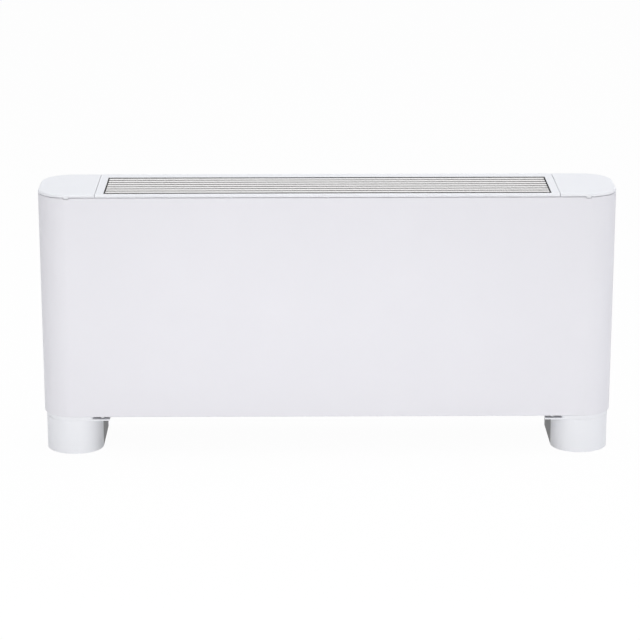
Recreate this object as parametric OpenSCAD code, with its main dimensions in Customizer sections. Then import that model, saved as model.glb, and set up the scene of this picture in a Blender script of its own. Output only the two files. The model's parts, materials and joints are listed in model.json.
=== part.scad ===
// Floor-standing fan coil unit: a rounded sheet-steel cabinet on two hollow feet.
// Air enters from below through a drop-down filter, passes two double-inlet fans and
// an inclined water coil, and leaves through the blades in the top.
// Millimetres. +X is right as seen from the front, +Y points to the wall, +Z is up.
// The origin is on the floor, under the middle of the cabinet.

/* [Overall] */
// Width of the cabinet
unit_w = 1240; // [1160:5:1600]
// Depth of the cabinet, from the front panel to the wall
unit_d = 200; // [198:1:230]
// Height of the casing above the feet
casing_h = 496; // [486:1:620]
// Height of the feet under the casing
foot_h = 84; // [60:1:120]
// Plan radius of the cabinet's corners
corner_r = 65; // [56:1:80]

/* [Casing] */
// Sheet thickness of the front casing
sheet_t = 1.2; // [0.8:0.1:2]
// Width of the casing's folded bottom flange
bottom_flange_w = 14; // [10:1:18]
// Height of the edge of the top frame and the lids
top_edge_h = 6.3; // [6:0.1:9]
// Radius along that edge
top_edge_r = 3.5; // [1:0.1:4]
// Radius under the top's outer edge, along the seam
under_edge_r = 1.2; // [0.4:0.1:1.6]
// Wall of the moulded top frame and lids
mould_t = 2.2; // [1.6:0.1:3]
// Seam between the casing and the top
seam_h = 1; // [0.8:0.1:3]
// Width of each end lid
lid_w = 126; // [118:1:132]
// Seam between a lid and the top frame
lid_seam = 1.2; // [0.6:0.1:3]
// Width of the lift tab at each lid's front edge
tab_w = 9.5; // [8:0.5:16]
// Distance the lift tab reaches down into the casing's notch
tab_drop = 1.6; // [1:0.1:4]
// Gap between the lift tab and the notch's floor
notch_gap = 1; // [0.8:0.1:3]
// Thickness of the rest pads under the top frame and the lids
pad_t = 3; // [2:0.5:6]
// Thickness of the insulation behind the front panel
insulation_t = 4; // [2:0.5:5]

/* [Lid hinges] */
// Diameter of a lid's hinge pin
lid_pin_d = 2.5; // [2:0.1:3]
// Distance from a lid's rear edge to its hinge axis
lid_axis_back = 6.5; // [6:0.1:9]
// Thickness of the hinge ears
hinge_ear_t = 2; // [1.5:0.1:3]
// Distance over the two ears of a hinge bracket
hinge_span = 42; // [34:1:46]
// Height of a hinge bracket's base
hinge_base_h = 10; // [8:1:20]
// Distance from the hinge axis to the front of an ear's neck
hinge_neck = 14; // [12:0.5:16]
// Drop from the casing's rear relief to a bracket's base
hinge_drop = 6; // [4:0.5:10]

/* [Outlet grille] */
// Number of outlet blades
blade_count = 7; // [5:1:7]
// Margin in front of the outlet opening
grille_front = 10; // [9:0.5:26]
// Margin behind the outlet opening
grille_back = 35; // [24:0.5:40]
// Margin between the outlet opening and a lid's seam
grille_end = 17.2; // [15:0.2:40]
// Depth of the collar below the top face
collar_h = 24; // [22:1:30]
// Thickness of the dark frame that lines the opening
liner_t = 1.2; // [1:0.1:3]
// Step from the top face down to the dark frame
liner_drop = 0.2; // [0.2:0.1:2]
// Width of a blade's head
blade_w = 12.5; // [10:0.1:14]
// Thickness of a blade's head at its rear
blade_t = 2.4; // [2:0.1:3]
// Thickness of a blade's head at its front edge
blade_edge_t = 0.7; // [0.5:0.1:1.2]
// Step from the top face down to the blades
blade_drop = 1; // [0.5:0.1:2]
// Height of a blade's curved tail
tail_h = 13.4; // [8:0.1:14]
// Thickness of a blade's curved tail
tail_t = 1.4; // [1:0.1:2]
// Radius of a blade's curved tail
tail_r = 30; // [20:1:60]
// Slot in front of the first blade
blade_front_gap = 14; // [8:0.5:20]
// Slot behind the last blade
blade_back_gap = 5.5; // [5:0.5:10]
// Gap between a blade's ends and the opening's ends
blade_end_gap = 3; // [2.5:0.1:6]
// Width of the flat under a blade's rear, which carries the tail
blade_heel = 4.5; // [4:0.1:6]
// Number of cross ribs under the blades
rib_count = 5; // [3:1:7]
// Thickness of a cross rib
rib_t = 4; // [2:0.5:6]
// Height of a cross rib
rib_h = 6; // [4:0.5:6]

/* [Chassis] */
// Sheet thickness of the galvanised chassis
chassis_t = 1.2; // [1:0.1:2]
// Width of the bay between an end plate and the cabinet's end
end_bay_w = 140; // [130:1:150]
// Width of the end plates' bottom fold
base_fold_w = 30; // [26:1:36]
// Width of the chassis's other folds
fold_w = 14; // [10:1:16]
// Diameter of the wall holes
wall_hole_d = 9; // [6:0.5:12]
// Distance from a cabinet end to the wall holes
wall_hole_inset = 100; // [80:1:110]
// Height of the lower wall holes above the casing's bottom
wall_hole_low = 66; // [40:1:120]
// Vertical distance between the wall holes
wall_hole_rise = 330; // [250:1:360]

/* [Fans] */
// Outer diameter of a fan wheel
wheel_d = 136; // [120:1:138]
// Width of a fan wheel
wheel_w = 250; // [180:1:270]
// Number of blades around a fan wheel
wheel_blades = 32; // [20:1:40]
// Radial depth of the fan blades
vane_depth = 14; // [10:1:16]
// Radius of a fan blade's curve
vane_r = 12; // [10:1:16]
// Thickness of a fan blade
vane_t = 1.2; // [0.8:0.1:2]
// Thickness of a wheel's end rings and middle disc
wheel_ring_t = 4; // [3:0.5:6]
// Distance the rings stand past the blades
wheel_lip = 0.8; // [0.5:0.1:2]
// Diameter of a wheel's hub
hub_d = 28; // [22:1:36]
// Length of a wheel's hub
hub_l = 30; // [20:1:40]
// Growth of the scroll in a quarter turn
scroll_step = 8; // [5:0.5:8]
// Gap between the wheel and the scroll at its tongue
tongue_gap = 8; // [6:0.5:8]
// Wall of the moulded scroll
scroll_t = 1.6; // [1.2:0.1:2.5]
// Gap between a wheel and its scroll's sides
wheel_side_gap = 8; // [7:0.5:12]
// Radius of the inlet's bell mouth
bell_r = 5; // [3:0.5:5]
// Width of the scroll's outlet flange
outlet_flange_w = 8; // [6:0.5:12]
// Thickness of the scroll's outlet flange
outlet_flange_t = 2; // [1.5:0.1:3]
// Diameter of the motor shaft
shaft_d = 10; // [8:0.5:14]
// Length of shaft past a wheel's middle
shaft_past = 22; // [18:1:40]
// Diameter of the motor
motor_d = 110; // [90:1:120]
// Length of the motor's barrel
motor_l = 90; // [60:1:100]
// Step from the motor's ribs down to its barrel
motor_rib_h = 5; // [3:0.5:8]
// Gap between the motor's ribs
motor_rib_gap = 8; // [4:0.5:10]
// Length of the motor's end shields
shield_l = 10; // [6:1:14]
// Length of a bearing boss, from the barrel's end
boss_l = 35; // [30:1:45]
// Diameter of the motor's bearing bosses
boss_d = 40; // [30:1:44]
// Wall of the rubber rings on the bosses
rubber_t = 7; // [4:0.5:10]
// Width of the rubber rings
rubber_w = 12; // [8:1:14]
// Thickness of the motor bracket
bracket_t = 3; // [2:0.5:4]
// Width of the motor bracket
bracket_w = 40; // [30:1:50]
// Width of the bracket's metal around a rubber ring
eye_w = 6; // [4:0.5:10]

/* [Coil] */
// Outer diameter of the coil tubes
tube_d = 9.52; // [8:0.01:10]
// Distance between tubes in a row
tube_pitch = 25; // [22:0.1:25.4]
// Distance between rows of tubes
row_pitch = 22; // [20:0.1:22]
// Least gap between the fins and the outlet's collar above them
coil_top_gap = 20; // [12:1:22]
// Least gap between the air vent and the back panel
vent_wall_gap = 3; // [2:0.5:8]
// Distance from the fins' lowest edge to the drain pan's rear
coil_drip = 18.41; // [14:0.01:24]
// Lean of the coil from upright, in degrees
coil_tilt = 28; // [22:1:32]
// Pitch of the fins
fin_pitch = 8; // [6:0.5:12]
// Thickness of a fin at the face of the pack
fin_t = 3; // [2:0.5:4]
// Depth of the gaps between fins at the face of the pack
fin_gap_depth = 5; // [2:0.5:5.5]
// Gap between the fin pack and an end plate
coil_end_gap = 8.8; // [6:0.1:14]
// Thickness of a tube sheet
tube_sheet_t = 1.5; // [1:0.1:2]
// Diameter of the headers
header_d = 22; // [18:0.5:28]
// Distance from an end plate to the headers' axes
header_reach = 38; // [34:1:46]
// Distance from an end plate to the water sockets' axes
socket_reach = 72; // [68:1:76]
// Radius of the bend above a water socket
socket_bend_r = 20; // [18:1:24]
// Distance along the coil from the fins' end to a socket's pipe
socket_end_gap = 30; // [26:1:34]
// Bore of the water sockets
socket_bore_d = 24.1; // [18:0.1:26]
// Depth of the sockets' bore
socket_depth = 16; // [12:1:20]
// Diameter of the pipes from the headers to the sockets
socket_pipe_d = 19; // [15:0.5:22]

/* [Condensate] */
// Wall of the drain pan
pan_t = 1.6; // [1:0.1:3]
// Height of the drain pan
pan_h = 26; // [22:1:26]
// Gap between the front panel and the drain pan
pan_front_gap = 10; // [8:1:16]
// Drop from the coil's lowest edge to the pan's floor
coil_lift = 28; // [27:1:32]
// Outer diameter of the drain spigot's hose end
spigot_d = 20; // [16:0.5:20]
// Length of the hose end
spigot_l = 25; // [18:1:35]
// Distance from the left end plate to the hose end's axis
spigot_reach = 52; // [48:1:60]
// Radius of the drain spigot's bend
spigot_bend_r = 16; // [14:1:20]

/* [Filter] */
// Thickness of the filter
filter_t = 8; // [6:0.5:10]
// Width of the filter frame's rails
filter_rail_w = 14; // [10:1:24]
// Gap between the filter's ends and the end plates
filter_end_gap = 24; // [22:1:40]
// Gap between the front panel and the filter
filter_front_gap = 20; // [18:1:26]
// Distance from the wall to the filter's hinge axis
filter_axis_back = 16; // [14:1:22]
// Distance from a filter hinge to the filter's end
filter_hinge_in = 55; // [40:1:90]
// Diameter of the filter's hinge pins
filter_pin_d = 4; // [3:0.1:5]
// Width of the spring clips in front of the filter
clip_w = 24; // [16:1:40]
// Height of the front rail
rail_h = 26; // [20:1:40]
// Width of the front rail's fold
rail_fold_w = 11; // [8:0.5:14]
// Pitch of the filter mesh's ribs
mesh_pitch = 65; // [40:1:120]

/* [Electrics] */
// Depth of the control box, out from the end plate
box_depth = 56; // [50:1:70]
// Width of the control box
box_w = 120; // [100:1:130]
// Height of the control box
box_h = 130; // [110:1:140]
// Height of the terminal block
terminal_h = 26; // [20:1:32]
// Height of the terminal block above the control box's floor
terminal_rise = 34; // [20:1:60]
// Wall of the control box
box_t = 2; // [1.5:0.1:3]
// Distance from the end plate to the cable gland's axis
gland_reach = 40; // [38:0.5:41]
// Bore of the cable gland
gland_bore_d = 10; // [6:0.5:14]
// Diameter of the motor capacitor
capacitor_d = 35; // [25:1:40]

/* [Feet] */
// Width of a foot's wall
foot_w = 123.5; // [118:0.5:126]
// Step from the cabinet's end in to the foot's outer wall
foot_side_inset = 4; // [1:0.5:8]
// Step from the front panel back to the foot's front wall
foot_front_inset = 1; // [0.5:0.5:6]
// Radius of the foot's inner upright corner
foot_inner_r = 58; // [40:1:60]
// Wall of the moulded foot
foot_t = 2.5; // [1.5:0.1:4]
// Distance the foot's rim reaches past its inner side
rim_reach = 18.5; // [14:0.5:30]
// Thickness of the foot's rim
rim_t = 2.8; // [2:0.1:6]
// Height from the rim up to the casing
rim_drop = 5.2; // [4:0.1:8]
// Distance from the foot's inner side to the wall above the rim
rim_gap_w = 17; // [8:0.5:24]
// Height of the fine groove in a foot's wall, under the rim
groove_h = 0.8; // [0.4:0.1:2]
// Depth of the fine groove in a foot's wall
groove_d = 0.8; // [0.4:0.1:1.5]
// Thickness of the leg bracket
leg_t = 2.5; // [2:0.1:4]
// Width of the leg bracket's flanges
leg_flange_w = 20; // [18:0.5:20]
// Width of the leg bracket's upright folds
leg_fold_w = 16; // [10:0.5:18]
// Distance from the leg's ends to its bolts
bolt_inset = 25; // [18:1:40]

/* [Clearances] */
// Running clearance of the hinge pins and shafts, on the radius
running_gap = 0.05; // [0.02:0.01:0.1]
// Clearance of fixed round fits, on the radius
fit_gap = 0.03; // [0.01:0.01:0.1]
// Clearance of loose parts
loose_gap = 0.5; // [0.3:0.1:1]

/* [Hidden] */
$fn = 64;
white = [0.93, 0.93, 0.95];
zinc = [0.70, 0.72, 0.74];
slat_grey = [0.83, 0.82, 0.80];
black_plastic = [0.12, 0.12, 0.13];
copper = [0.78, 0.45, 0.28];
brass = [0.80, 0.66, 0.36];
fin_silver = [0.80, 0.82, 0.84];

// Cabinet levels and faces
half_w = unit_w / 2;
half_d = unit_d / 2;
casing_z = foot_h;
top_z = foot_h + casing_h;
top_edge_z = top_z - top_edge_h;
casing_top_z = top_edge_z - seam_h;
corner_x = half_w - corner_r;
corner_y = half_d - corner_r;
plate_under_z = top_z - mould_t;
back_face_y = half_d - chassis_t;

// Top frame and grille
frame_half = half_w - lid_w - lid_seam / 2;
lid_x = half_w - lid_w + lid_seam / 2;
opening_x = frame_half - grille_end;
top_flange_w = grille_front - mould_t - 0.8;
opening_y0 = -half_d + grille_front;
opening_y1 = half_d - grille_back;
blade_y0 = opening_y0 + blade_front_gap + blade_w / 2;
blade_span = opening_y1 - blade_back_gap - blade_w / 2 - blade_y0;
blade_pitch = blade_span / (blade_count - 1);
blade_top_z = top_z - blade_drop;
tail_z = blade_top_z - blade_t - tail_h;

// Lid hinges
hinge_ear_r = lid_pin_d / 2 + 0.9;
lid_axis_y = half_d - lid_axis_back;
lid_axis_z = plate_under_z - hinge_ear_r - 0.15;
lid_sweep_r = sqrt(pow(lid_axis_back, 2) + pow(lid_axis_z - top_edge_z, 2));
lid_relief_z = lid_axis_z - lid_sweep_r - 1;
lid_relief_y = lid_axis_y - lid_sweep_r - 1;
hinge_x = half_w - end_bay_w + 23;
lug_t = 3;

// Chassis
end_x = half_w - end_bay_w;
end_in_x = end_x - chassis_t;
base_z = casing_z + sheet_t;
plate_front_y = -half_d + sheet_t + loose_gap;
plate_top_z = top_z - collar_h - 4;
panel_half = corner_x - 2;
panel_z = casing_z + 2;
wing_x = frame_half - 2;
screw_x = end_x + 10;
screw_y = -half_d + bottom_flange_w / 2;
screw_d = 5;

// Filter
filter_z = casing_z + 5;
filter_half = end_in_x - filter_end_gap;
filter_y0 = -half_d + filter_front_gap;
filter_axis_y = half_d - filter_axis_back;
filter_axis_z = filter_z + filter_t / 2;
filter_y1 = filter_axis_y - filter_t / 2 - 2;
filter_hinge_x = filter_half - filter_hinge_in;
rail_y = filter_y0 - 2;
rail_z = filter_z + filter_t + 3;

// Fans: the scroll is four arcs, each one step larger than the one before
wheel_r = wheel_d / 2;
vane_in_r = wheel_r - vane_depth;
arc_1 = wheel_r + tongue_gap + scroll_step / 2;
arc_2 = arc_1 + scroll_step;
arc_3 = arc_2 + scroll_step;
scroll_top = arc_1 - scroll_step / 2;
scroll_back = arc_3 + scroll_step / 2;
tongue_y = wheel_r / 4;
deck_rise = scroll_top + 22;
fan_y = back_face_y - 4 - scroll_t - scroll_back;
fan_z = filter_z + filter_t + 6 + scroll_t + scroll_step / 2 + arc_2;
deck_z = fan_z + deck_rise;
deck_top_z = deck_z + chassis_t;
fan_x = end_x / 2;
scroll_w = wheel_w + 2 * wheel_side_gap;
bell_hole_r = vane_in_r + 2;
scroll_screw_d = 4;
boss_end = motor_l / 2 + boss_l;
ring_x = boss_end - rubber_w - 4;

// Drain pan's front and rear
pan_y0 = -half_d + pan_front_gap;
pan_y1 = fan_y + tongue_y - scroll_t - 4;

// Coil, in a frame of its own whose Z runs up along the fins
rows = [-row_pitch, 0, row_pitch];
fin_d = len(rows) * row_pitch;
coil_floor_z = deck_top_z + pan_t + coil_lift;
coil_room = top_z - collar_h - coil_top_gap - coil_floor_z;
fin_room = (coil_room - fin_d * sin(coil_tilt)) / cos(coil_tilt);
vent_r = 5.5;
vent_l = 14;
vent_screw_l = 6;
vent_back = (row_pitch + vent_r - fin_d / 2) * cos(coil_tilt) + vent_l * sin(coil_tilt);
lean_room = (back_face_y - vent_wall_gap - vent_back - pan_y1 + coil_drip) / sin(coil_tilt);
tubes_per_row = 2 * floor(min(fin_room, lean_room) / tube_pitch / 2);
fin_h = tubes_per_row * tube_pitch;
socket_spread = fin_h - 2 * socket_end_gap;
coil_half = end_in_x - coil_end_gap;
fin_count = floor((2 * coil_half - fin_t) / fin_pitch);
fin_step = (2 * coil_half - fin_t) / fin_count;
coil_y = pan_y1 - coil_drip - fin_d / 2 * cos(coil_tilt) + fin_h / 2 * sin(coil_tilt);
coil_z = coil_floor_z + fin_h / 2 * cos(coil_tilt) + fin_d / 2 * sin(coil_tilt);
tube_r = tube_d / 2;
tube_end = coil_half + 12;
header_x = end_x + header_reach;
header_half = fin_h / 2 - 5;
socket_x = end_x + socket_reach;
socket_l = socket_depth + 8;
socket_r = socket_bore_d / 2 + 5;
socket_drop = socket_bend_r + 6;
socket_hold = 6;

// Condensate
pan_half = end_in_x - 4.8;
spigot_r = spigot_d / 2;
spigot_x = end_x + spigot_reach;
spigot_y = pan_y1 - spigot_r - 4.6;
spigot_z = deck_top_z + pan_t + spigot_r + 0.5;
spigot_neck_r = spigot_r - 0.5;

// Electrics
box_y = -box_w / 2 + 5;
box_z = fan_z - box_h / 2 + 10;
gland_x = end_x + gland_reach;
gland_r = gland_bore_d / 2 + 4;
gland_l = 16;

// Feet
foot_x1 = half_w - foot_side_inset;
foot_x0 = foot_x1 - foot_w;
foot_y0 = -half_d + foot_front_inset;
foot_y1 = half_d - foot_side_inset;
foot_back_y = half_d - 8;
foot_outer_r = min(corner_r - 1, foot_w - foot_inner_r - 1);
leg_y = foot_y0 + foot_inner_r;
rim_z = foot_h - rim_drop;
bolt_d = 8;
bolt_x = foot_x0 + leg_flange_w / 2;
bolt_ys = [leg_y + bolt_inset, foot_back_y - bolt_inset];

// Shapes that several pieces share

// Quarter of a disc in the quadrant that the two signs give
module quarter_disc(r, x_sign, y_sign) {
    intersection() {
        circle(r);
        translate([x_sign > 0 ? 0 : -r, y_sign > 0 ? 0 : -r]) square(r);
    }
}

// A flat section in Y and Z, drawn out along X from x0
module along_x(x0, length) {
    translate([x0, 0, 0]) rotate([90, 0, 90]) linear_extrude(length) children();
}

// A rod along X from x0 to x1, at a height and depth
module rod_x(x0, x1, y, z, r) {
    translate([x0, y, z]) rotate([0, 90, 0]) cylinder(h = x1 - x0, r = r);
}

// Quarter bend of a pipe that comes from the right, at the origin, and turns down
module bend_down(bend_r, r) {
    translate([0, 0, -bend_r])
        rotate([90, 0, 0])
            rotate([0, 0, 90])
                rotate_extrude(angle = 90) translate([bend_r, 0]) circle(r);
}

// The same piece at both ends of the cabinet
module both_ends() {
    children();
    mirror([1, 0, 0]) children();
}

// Cabinet's plan, stepped in from its outer face
module cabinet_plan(inset) {
    r = corner_r - inset;
    square([unit_w - 2 * corner_r, unit_d - 2 * inset], center = true);
    for (side = [-1, 1]) {
        translate([side * (corner_x + r / 2), 0]) square([r, 2 * corner_y], center = true);
        for (end = [-1, 1])
            translate([side * corner_x, end * corner_y]) quarter_disc(r, side, end);
    }
}

// Band of the cabinet's plan that is open at the back
module casing_band(width, back_y) {
    difference() {
        cabinet_plan(0);
        cabinet_plan(width);
        translate([-corner_x, 0]) square([2 * corner_x, unit_d]);
        translate([-half_w - 1, back_y]) square([unit_w + 2, unit_d]);
    }
}

// Casing

module front_casing() {
    color(white)
        difference() {
            union() {
                translate([0, 0, casing_z])
                    linear_extrude(casing_top_z - casing_z) casing_band(sheet_t, unit_d);
                translate([0, 0, casing_z])
                    linear_extrude(sheet_t) casing_band(bottom_flange_w, unit_d);
                translate([0, 0, casing_top_z - sheet_t])
                    linear_extrude(sheet_t) casing_band(top_flange_w, corner_y);
            }
            translate([-half_w, lid_relief_y, lid_relief_z]) cube([unit_w, unit_d, casing_h]);
            both_ends() tab_notch();
            for (side = [-1, 1])
                translate([side * screw_x, screw_y, casing_z - 1])
                    cylinder(h = sheet_t + 2, d = screw_d + 2 * running_gap);
        }
}

// Notch in the casing's top edge that takes a lid's lift tab
module tab_notch() {
    side_gap = 0.8;
    depth = tab_drop + notch_gap;
    translate([corner_x - tab_w / 2 - side_gap, -half_d - 1, casing_top_z - depth])
        cube([tab_w + 2 * side_gap, mould_t + side_gap + 1, depth + 1]);
}

module front_insulation() {
    color([0.35, 0.36, 0.38])
        translate([-coil_half, -half_d + sheet_t, deck_z])
            cube([2 * coil_half, insulation_t, casing_top_z - 20 - deck_z]);
}

// Section of the moulded top from an inner line out to its rounded edge
module top_section(length) {
    flat = length - top_edge_r;
    side_h = top_edge_h - top_edge_r;
    difference() {
        union() {
            square([flat, top_edge_h]);
            translate([flat, under_edge_r]) square([top_edge_r, side_h - under_edge_r]);
            translate([flat, 0]) square([top_edge_r - under_edge_r, under_edge_r]);
            translate([length - under_edge_r, under_edge_r]) quarter_disc(under_edge_r, 1, -1);
            translate([flat, side_h]) quarter_disc(top_edge_r, 1, 1);
        }
        translate([-1, -1]) square([length - mould_t + 1, top_edge_h - mould_t + 1]);
    }
}

module top_frame() {
    color(white) {
        difference() {
            union() {
                for (end = [0, 1])
                    mirror([0, end, 0])
                        along_x(-frame_half, 2 * frame_half)
                            translate([0, top_edge_z]) top_section(half_d);
                translate([-opening_x - mould_t, opening_y0 - mould_t, top_z - collar_h])
                    cube([
                        2 * (opening_x + mould_t),
                        opening_y1 - opening_y0 + 2 * mould_t,
                        collar_h - mould_t
                    ]);
                both_ends()
                    translate([frame_half - mould_t, -half_d + mould_t, top_edge_z])
                        cube([mould_t, unit_d - 2 * mould_t, top_edge_h - mould_t]);
                for (x = [-2:2])
                    for (end = [0, 1])
                        mirror([0, end, 0])
                            translate([x * frame_half / 2.4, half_d - top_flange_w + 1, casing_top_z])
                                cube([pad_t, top_flange_w - mould_t - 1, plate_under_z - casing_top_z]);
            }
            translate([-opening_x, opening_y0, top_z - collar_h - 1])
                cube([2 * opening_x, opening_y1 - opening_y0, collar_h + 2]);
        }
    }
}

// Section of an outlet blade's head, which is thin at its front edge
module blade_head() {
    half = blade_w / 2;
    polygon([
        [-half, -blade_edge_t],
        [-half, 0],
        [half, 0],
        [half, -blade_t],
        [half - blade_heel, -blade_t]
    ]);
}

// Section of an outlet blade's tail, which turns the air forwards
module blade_tail() {
    translate([blade_w / 2 - tail_r, -blade_t - tail_h])
        intersection() {
            difference() {
                circle(tail_r + tail_t / 2);
                circle(tail_r - tail_t / 2);
            }
            square([tail_r + tail_t, tail_h]);
        }
}

module outlet_blade(i) {
    reach = opening_x - blade_end_gap;
    color(slat_grey)
        translate([-reach, blade_y0 + (i - 1) * blade_pitch, blade_top_z]) {
            along_x(0, 2 * reach) blade_head();
            along_x(0, 2 * reach) blade_tail();
        }
}

// Dark frame that lines the opening, with the cross ribs that carry the blades
module grille_frame() {
    step = 2 * opening_x / rib_count;
    depth = opening_y1 - opening_y0;
    floor_z = tail_z - rib_h;
    color(black_plastic) {
        translate([0, 0, floor_z])
            linear_extrude(top_z - liner_drop - floor_z)
                difference() {
                    translate([-opening_x, opening_y0]) square([2 * opening_x, depth]);
                    translate([-opening_x + liner_t, opening_y0 + liner_t])
                        square([2 * (opening_x - liner_t), depth - 2 * liner_t]);
                }
        for (i = [0:rib_count - 1])
            translate([-opening_x + (i + 0.5) * step - rib_t / 2, opening_y0 + liner_t, floor_z])
                cube([rib_t, depth - 2 * liner_t, rib_h]);
    }
}

// End lid on the right: a moulded shell with a lift tab and two hinge lugs
module lid() {
    strip_l = corner_x - lid_x;
    lug_step = hinge_ear_t + loose_gap;
    for (end = [0, 1])
        mirror([0, end, 0]) {
            along_x(lid_x, strip_l)
                translate([corner_y, top_edge_z]) top_section(corner_r);
            translate([corner_x, corner_y, top_edge_z])
                rotate_extrude(angle = 90) top_section(corner_r);
        }
    translate([lid_x, -corner_y, plate_under_z]) cube([strip_l, 2 * corner_y, mould_t]);
    translate([corner_x, corner_y, top_edge_z])
        rotate([90, 0, 0]) linear_extrude(2 * corner_y) top_section(corner_r);
    translate([lid_x, -half_d + mould_t, top_edge_z])
        cube([mould_t, unit_d - 2 * mould_t, top_edge_h - mould_t]);
    for (x = [lid_x + 18, corner_x + tab_w])
        translate([x, -half_d + mould_t + 0.6, casing_top_z])
            cube([pad_t, top_flange_w - mould_t - 1, plate_under_z - casing_top_z]);
    for (x = [hinge_x + lug_step, hinge_x + hinge_span - lug_step - lug_t])
        along_x(x, lug_t) hinge_lug();
    lift_tab();
}

// Tab under the lid's front edge, flush with the casing's face
module lift_tab() {
    translate([0, 0, casing_top_z - tab_drop])
        linear_extrude(tab_drop + seam_h + under_edge_r)
            intersection() {
                difference() {
                    cabinet_plan(0);
                    cabinet_plan(mould_t);
                }
                translate([corner_x - tab_w / 2, -half_d]) square([tab_w, corner_r]);
            }
}

// Lug that hangs from a lid and turns on the hinge pin
module hinge_lug() {
    lug_r = lid_pin_d / 2 + 1.7;
    translate([lid_axis_y, lid_axis_z])
        difference() {
            union() {
                translate([-lug_r, 0]) square([2 * lug_r, plate_under_z - lid_axis_z]);
                for (side = [-1, 1]) quarter_disc(lug_r, side, -1);
            }
            circle(lid_pin_d / 2 + running_gap);
        }
}

module left_lid() {
    color(white) mirror([1, 0, 0]) lid();
}

module right_lid() {
    color(white) lid();
}

// Gooseneck ear: it reaches the pin from the front, clear of the lid's rear edge
module hinge_ear() {
    neck_w = 2 * hinge_ear_r;
    foot_top = lid_relief_z - hinge_drop;
    front = lid_axis_y - hinge_neck;
    difference() {
        union() {
            translate([front, lid_axis_z - hinge_ear_r]) square([hinge_neck, neck_w]);
            translate([lid_axis_y, lid_axis_z])
                for (up = [-1, 1]) quarter_disc(hinge_ear_r, 1, up);
            translate([front, foot_top]) square([neck_w, lid_axis_z - hinge_ear_r - foot_top]);
            translate([front, foot_top - hinge_base_h]) square([back_face_y - front, hinge_base_h]);
        }
        translate([lid_axis_y, lid_axis_z]) circle(lid_pin_d / 2 + fit_gap);
    }
}

module lid_hinge_brackets() {
    base_top = lid_relief_z - hinge_drop;
    color(zinc)
        both_ends() {
            for (x = [hinge_x, hinge_x + hinge_span - hinge_ear_t])
                along_x(x, hinge_ear_t) hinge_ear();
            translate([hinge_x, back_face_y - hinge_ear_t, base_top - hinge_base_h])
                cube([hinge_span, hinge_ear_t, hinge_base_h]);
        }
}

module lid_hinge_pins() {
    color(zinc)
        both_ends()
            rod_x(hinge_x - 1, hinge_x + hinge_span + 1, lid_axis_y, lid_axis_z, lid_pin_d / 2);
}

// Chassis

module back_panel() {
    color(zinc)
        difference() {
            union() {
                translate([-panel_half, back_face_y, panel_z])
                    cube([2 * panel_half, chassis_t, lid_relief_z - panel_z]);
                translate([-wing_x, back_face_y, lid_relief_z])
                    cube([2 * wing_x, chassis_t, casing_top_z - lid_relief_z]);
                translate([-wing_x, back_face_y - fold_w, casing_top_z - chassis_t])
                    cube([2 * wing_x, fold_w, chassis_t]);
                translate([-end_in_x + 1, back_face_y - 8, panel_z])
                    cube([2 * end_in_x - 2, 8, chassis_t]);
            }
            for (side = [-1, 1])
                for (z = [wall_hole_low, wall_hole_low + wall_hole_rise])
                    translate([side * (half_w - wall_hole_inset), back_face_y - 1, casing_z + z])
                        rotate([-90, 0, 0]) cylinder(h = chassis_t + 2, d = wall_hole_d);
        }
}

// Window that lets the coil's bends and headers through an end plate
module coil_window() {
    translate([coil_y, coil_z])
        rotate(-coil_tilt) square([fin_d - 4, fin_h - 4], center = true);
}

// End plate on the right, folded outwards at the front, back and bottom
module end_plate() {
    difference() {
        union() {
            translate([end_in_x, plate_front_y, base_z])
                cube([chassis_t, back_face_y - plate_front_y, plate_top_z - base_z]);
            translate([end_x, plate_front_y, base_z])
                cube([base_fold_w, back_face_y - plate_front_y, chassis_t]);
            translate([end_x, plate_front_y, base_z])
                cube([fold_w + 4, chassis_t, plate_top_z - base_z]);
            translate([end_x, back_face_y - chassis_t, base_z])
                cube([fold_w, chassis_t, plate_top_z - base_z]);
        }
        along_x(end_in_x - 1, chassis_t + 2) coil_window();
        translate([screw_x, screw_y, base_z - 1])
            cylinder(h = chassis_t + 2, d = screw_d + 2 * running_gap);
        for (y = bolt_ys)
            translate([bolt_x, y, base_z - 1]) cylinder(h = chassis_t + 2, d = bolt_d + 2 * running_gap);
    }
}

// Left end plate, with the drain spigot's hole
module left_end_plate() {
    color(zinc)
        difference() {
            mirror([1, 0, 0]) end_plate();
            rod_x(-end_x - 1, -end_in_x + 1, spigot_y, spigot_z, spigot_r + 1);
        }
}

module right_end_plate() {
    color(zinc) end_plate();
}

module fan_deck() {
    front = -half_d + sheet_t + insulation_t + 1;
    color(zinc)
        difference() {
            union() {
                translate([-end_in_x, front, deck_z])
                    cube([2 * end_in_x, back_face_y - front, chassis_t]);
                translate([-end_in_x, front, deck_z - fold_w])
                    cube([2 * end_in_x, chassis_t, fold_w]);
                both_ends()
                    translate([end_in_x - chassis_t, front, deck_z - fold_w])
                        cube([chassis_t, back_face_y - front, fold_w]);
            }
            both_ends()
                translate([fan_x - scroll_w / 2, fan_y + tongue_y, deck_z - 1])
                    cube([scroll_w, scroll_back - tongue_y, chassis_t + 2]);
            scroll_screw_places()
                translate([0, 0, deck_z - 1])
                    cylinder(h = chassis_t + 2, d = scroll_screw_d + 2 * running_gap);
        }
}

// Rail across the front, over the filter's front edge
module front_rail() {
    color(zinc) {
        translate([-end_in_x, rail_y - chassis_t, rail_z]) cube([2 * end_in_x, chassis_t, rail_h]);
        translate([-end_in_x, rail_y - rail_fold_w, rail_z + rail_h - chassis_t])
            cube([2 * end_in_x, rail_fold_w - chassis_t, chassis_t]);
    }
}

// Fans

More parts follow.
